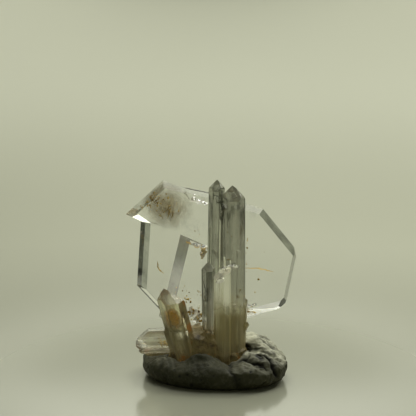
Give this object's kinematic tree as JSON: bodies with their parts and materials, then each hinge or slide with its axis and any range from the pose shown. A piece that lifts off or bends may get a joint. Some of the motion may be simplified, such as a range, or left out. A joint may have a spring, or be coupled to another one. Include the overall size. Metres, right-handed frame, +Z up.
{
  "type": "japan law twin quartz",
  "caption": "Clear flattened quartz twin with tall side crystals and small stained ones, standing in a lump of soft dark mineral putty.",
  "frame": {"origin": "on the putty's flat underside, below the cluster", "axes": "+Z up, +X to the right as seen from the twin's front, the front faces -Y"},
  "size_m": [0.0346, 0.0223, 0.0411],
  "materials": {
    "quartz": "clear, with natural facets, striations and veils",
    "putty": "matt, thumbed"
  },
  "bodies": {
    "root": {"quartz_cluster": "quartz", "putty_base": "putty"}
  },
  "joints": []
}
